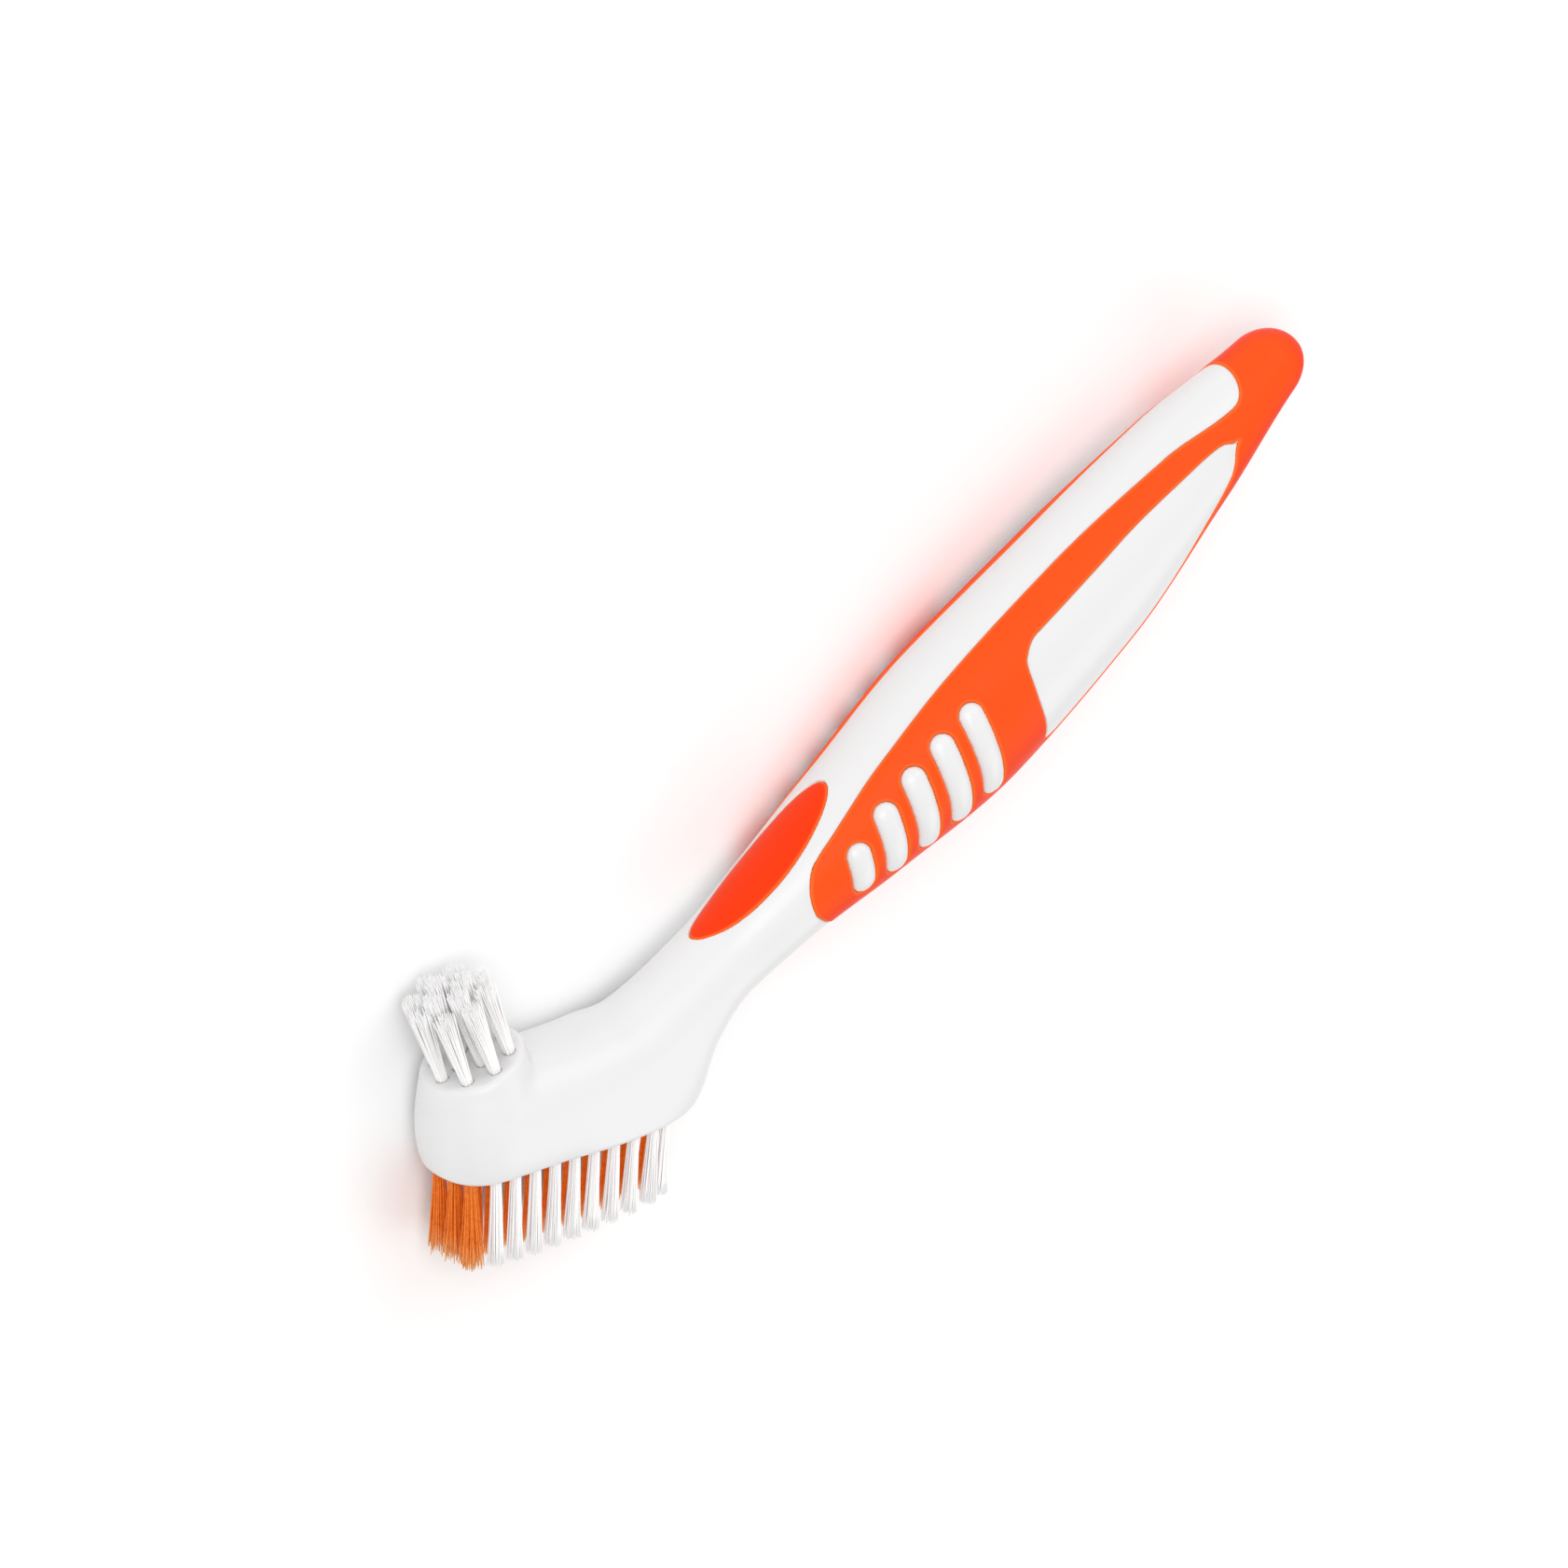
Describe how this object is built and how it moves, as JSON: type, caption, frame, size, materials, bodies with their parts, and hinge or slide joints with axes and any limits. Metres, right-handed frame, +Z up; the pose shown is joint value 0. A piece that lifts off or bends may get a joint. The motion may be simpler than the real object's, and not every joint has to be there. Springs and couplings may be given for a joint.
{
  "type": "denture brush",
  "caption": "Denture brush with a wide bristle head, a small round brush on its back, and a thick two-shot handle with finger ribs, side windows and a thumb pad.",
  "frame": {"origin": "on the ground under the middle of the object's box, as the brush lies on its side", "axes": "+X from the front of the bristle head to the tail, +Y towards the back of the brush, where the small round brush is, +Z up, across the head"},
  "size_m": [0.1587, 0.0472, 0.0199],
  "materials": {
    "white_plastic": "white moulded polypropylene with a soft satin gloss",
    "orange_rubber": "bright orange thermoplastic elastomer, smooth with a soft sheen",
    "white_bristle": "fine white nylon filaments",
    "orange_bristle": "fine amber orange nylon filaments, slightly translucent",
    "anchor_metal": "plain drawn brass strip"
  },
  "bodies": {
    "root": {"brush_body": "white_plastic", "soft_grip": "orange_rubber", "thumb_pad": "orange_rubber", "tuft_anchors": "anchor_metal", "left_tuft_1": "white_bristle", "left_tuft_2": "white_bristle", "left_tuft_3": "white_bristle", "left_tuft_4": "white_bristle", "left_tuft_5": "white_bristle", "left_tuft_6": "white_bristle", "left_tuft_7": "white_bristle", "left_tuft_8": "white_bristle", "left_tuft_9": "white_bristle", "left_tuft_10": "white_bristle", "right_tuft_1": "white_bristle", "right_tuft_2": "white_bristle", "right_tuft_3": "white_bristle", "right_tuft_4": "white_bristle", "right_tuft_5": "white_bristle", "right_tuft_6": "white_bristle", "right_tuft_7": "white_bristle", "right_tuft_8": "white_bristle", "right_tuft_9": "white_bristle", "right_tuft_10": "white_bristle", "inner_left_tuft_1": "orange_bristle", "inner_left_tuft_2": "orange_bristle", "inner_left_tuft_3": "orange_bristle", "inner_left_tuft_4": "orange_bristle", "inner_left_tuft_5": "orange_bristle", "inner_left_tuft_6": "orange_bristle", "inner_left_tuft_7": "orange_bristle", "inner_left_tuft_8": "orange_bristle", "inner_left_tuft_9": "orange_bristle", "inner_left_tuft_10": "orange_bristle", "inner_right_tuft_1": "orange_bristle", "inner_right_tuft_2": "orange_bristle", "inner_right_tuft_3": "orange_bristle", "inner_right_tuft_4": "orange_bristle", "inner_right_tuft_5": "orange_bristle", "inner_right_tuft_6": "orange_bristle", "inner_right_tuft_7": "orange_bristle", "inner_right_tuft_8": "orange_bristle", "inner_right_tuft_9": "orange_bristle", "inner_right_tuft_10": "orange_bristle", "front_tuft_1": "orange_bristle", "front_tuft_2": "orange_bristle", "front_tuft_3": "orange_bristle", "ring_tuft_1": "white_bristle", "ring_tuft_2": "white_bristle", "ring_tuft_3": "white_bristle", "ring_tuft_4": "white_bristle", "ring_tuft_5": "white_bristle", "ring_tuft_6": "white_bristle", "ring_tuft_7": "white_bristle", "ring_tuft_8": "white_bristle", "centre_tuft_1": "white_bristle", "centre_tuft_2": "white_bristle", "centre_tuft_3": "white_bristle", "centre_tuft_4": "white_bristle"}
  },
  "joints": []
}
